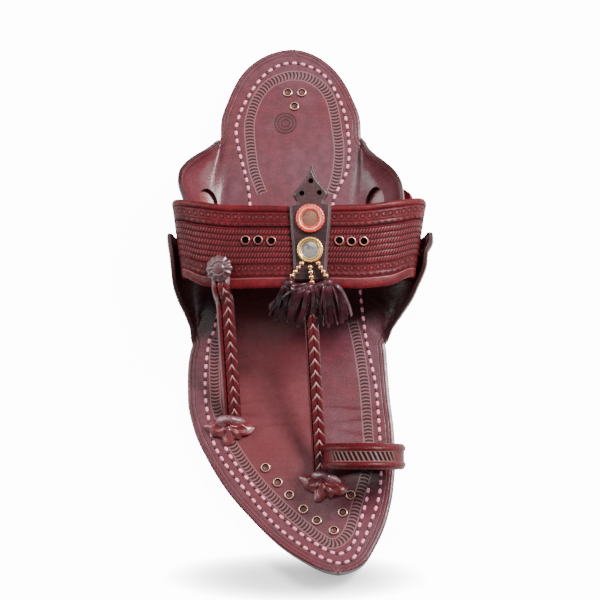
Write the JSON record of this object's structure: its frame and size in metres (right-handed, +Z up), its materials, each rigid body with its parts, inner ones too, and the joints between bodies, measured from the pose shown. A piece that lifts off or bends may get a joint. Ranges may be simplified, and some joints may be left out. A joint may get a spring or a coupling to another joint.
{
  "type": "kolhapuri sandal",
  "caption": "Oxblood leather kolhapuri sandal for the right foot, with a tooled instep band, plaited straps, toe ring and tasselled centre tab.",
  "frame": {"origin": "on the floor under the middle of the heel, at the heel lift's lower face", "axes": "+Z up, +Y from the toe towards the heel, +X towards the big-toe side"},
  "size_m": [0.1336, 0.2775, 0.0658],
  "materials": {
    "bed_leather": "waxed plum leather with tooled borders",
    "sole_leather": "thick dyed sole leather with a dark edge",
    "band_leather": "glossy oxblood leather, embossed",
    "tab_leather": "dark plum leather, waxed",
    "brass": "bright rolled rings",
    "orange_rim": "satin coral lacquer",
    "gold_rim": "bright gold",
    "mirror": "small round mirror glass"
  },
  "bodies": {
    "root": {"outsole": "sole_leather", "heel_lift": "sole_leather", "footbed": "bed_leather", "upper": "band_leather", "toe_ring": "band_leather", "centre_tab": "tab_leather", "rosette": "tab_leather", "knot_lateral": "band_leather", "knot_centre": "band_leather", "tassel": "tab_leather", "mirror_rim_upper": "orange_rim", "mirror_rim_lower": "gold_rim", "mirror_glass_upper": "mirror", "mirror_glass_lower": "mirror", "bead_string_1": "gold_rim", "bead_string_2": "gold_rim", "bead_string_3": "gold_rim", "band_eyelet_1": "brass", "band_eyelet_2": "brass", "band_eyelet_3": "brass", "band_eyelet_4": "brass", "band_eyelet_5": "brass", "band_eyelet_6": "brass", "bed_eyelet_1": "brass", "bed_eyelet_2": "brass", "bed_eyelet_3": "brass", "bed_eyelet_4": "brass", "bed_eyelet_5": "brass", "bed_eyelet_6": "brass", "bed_eyelet_7": "brass", "bed_eyelet_8": "brass", "bed_eyelet_9": "brass", "bed_eyelet_10": "brass", "bed_eyelet_11": "brass"}
  },
  "joints": []
}
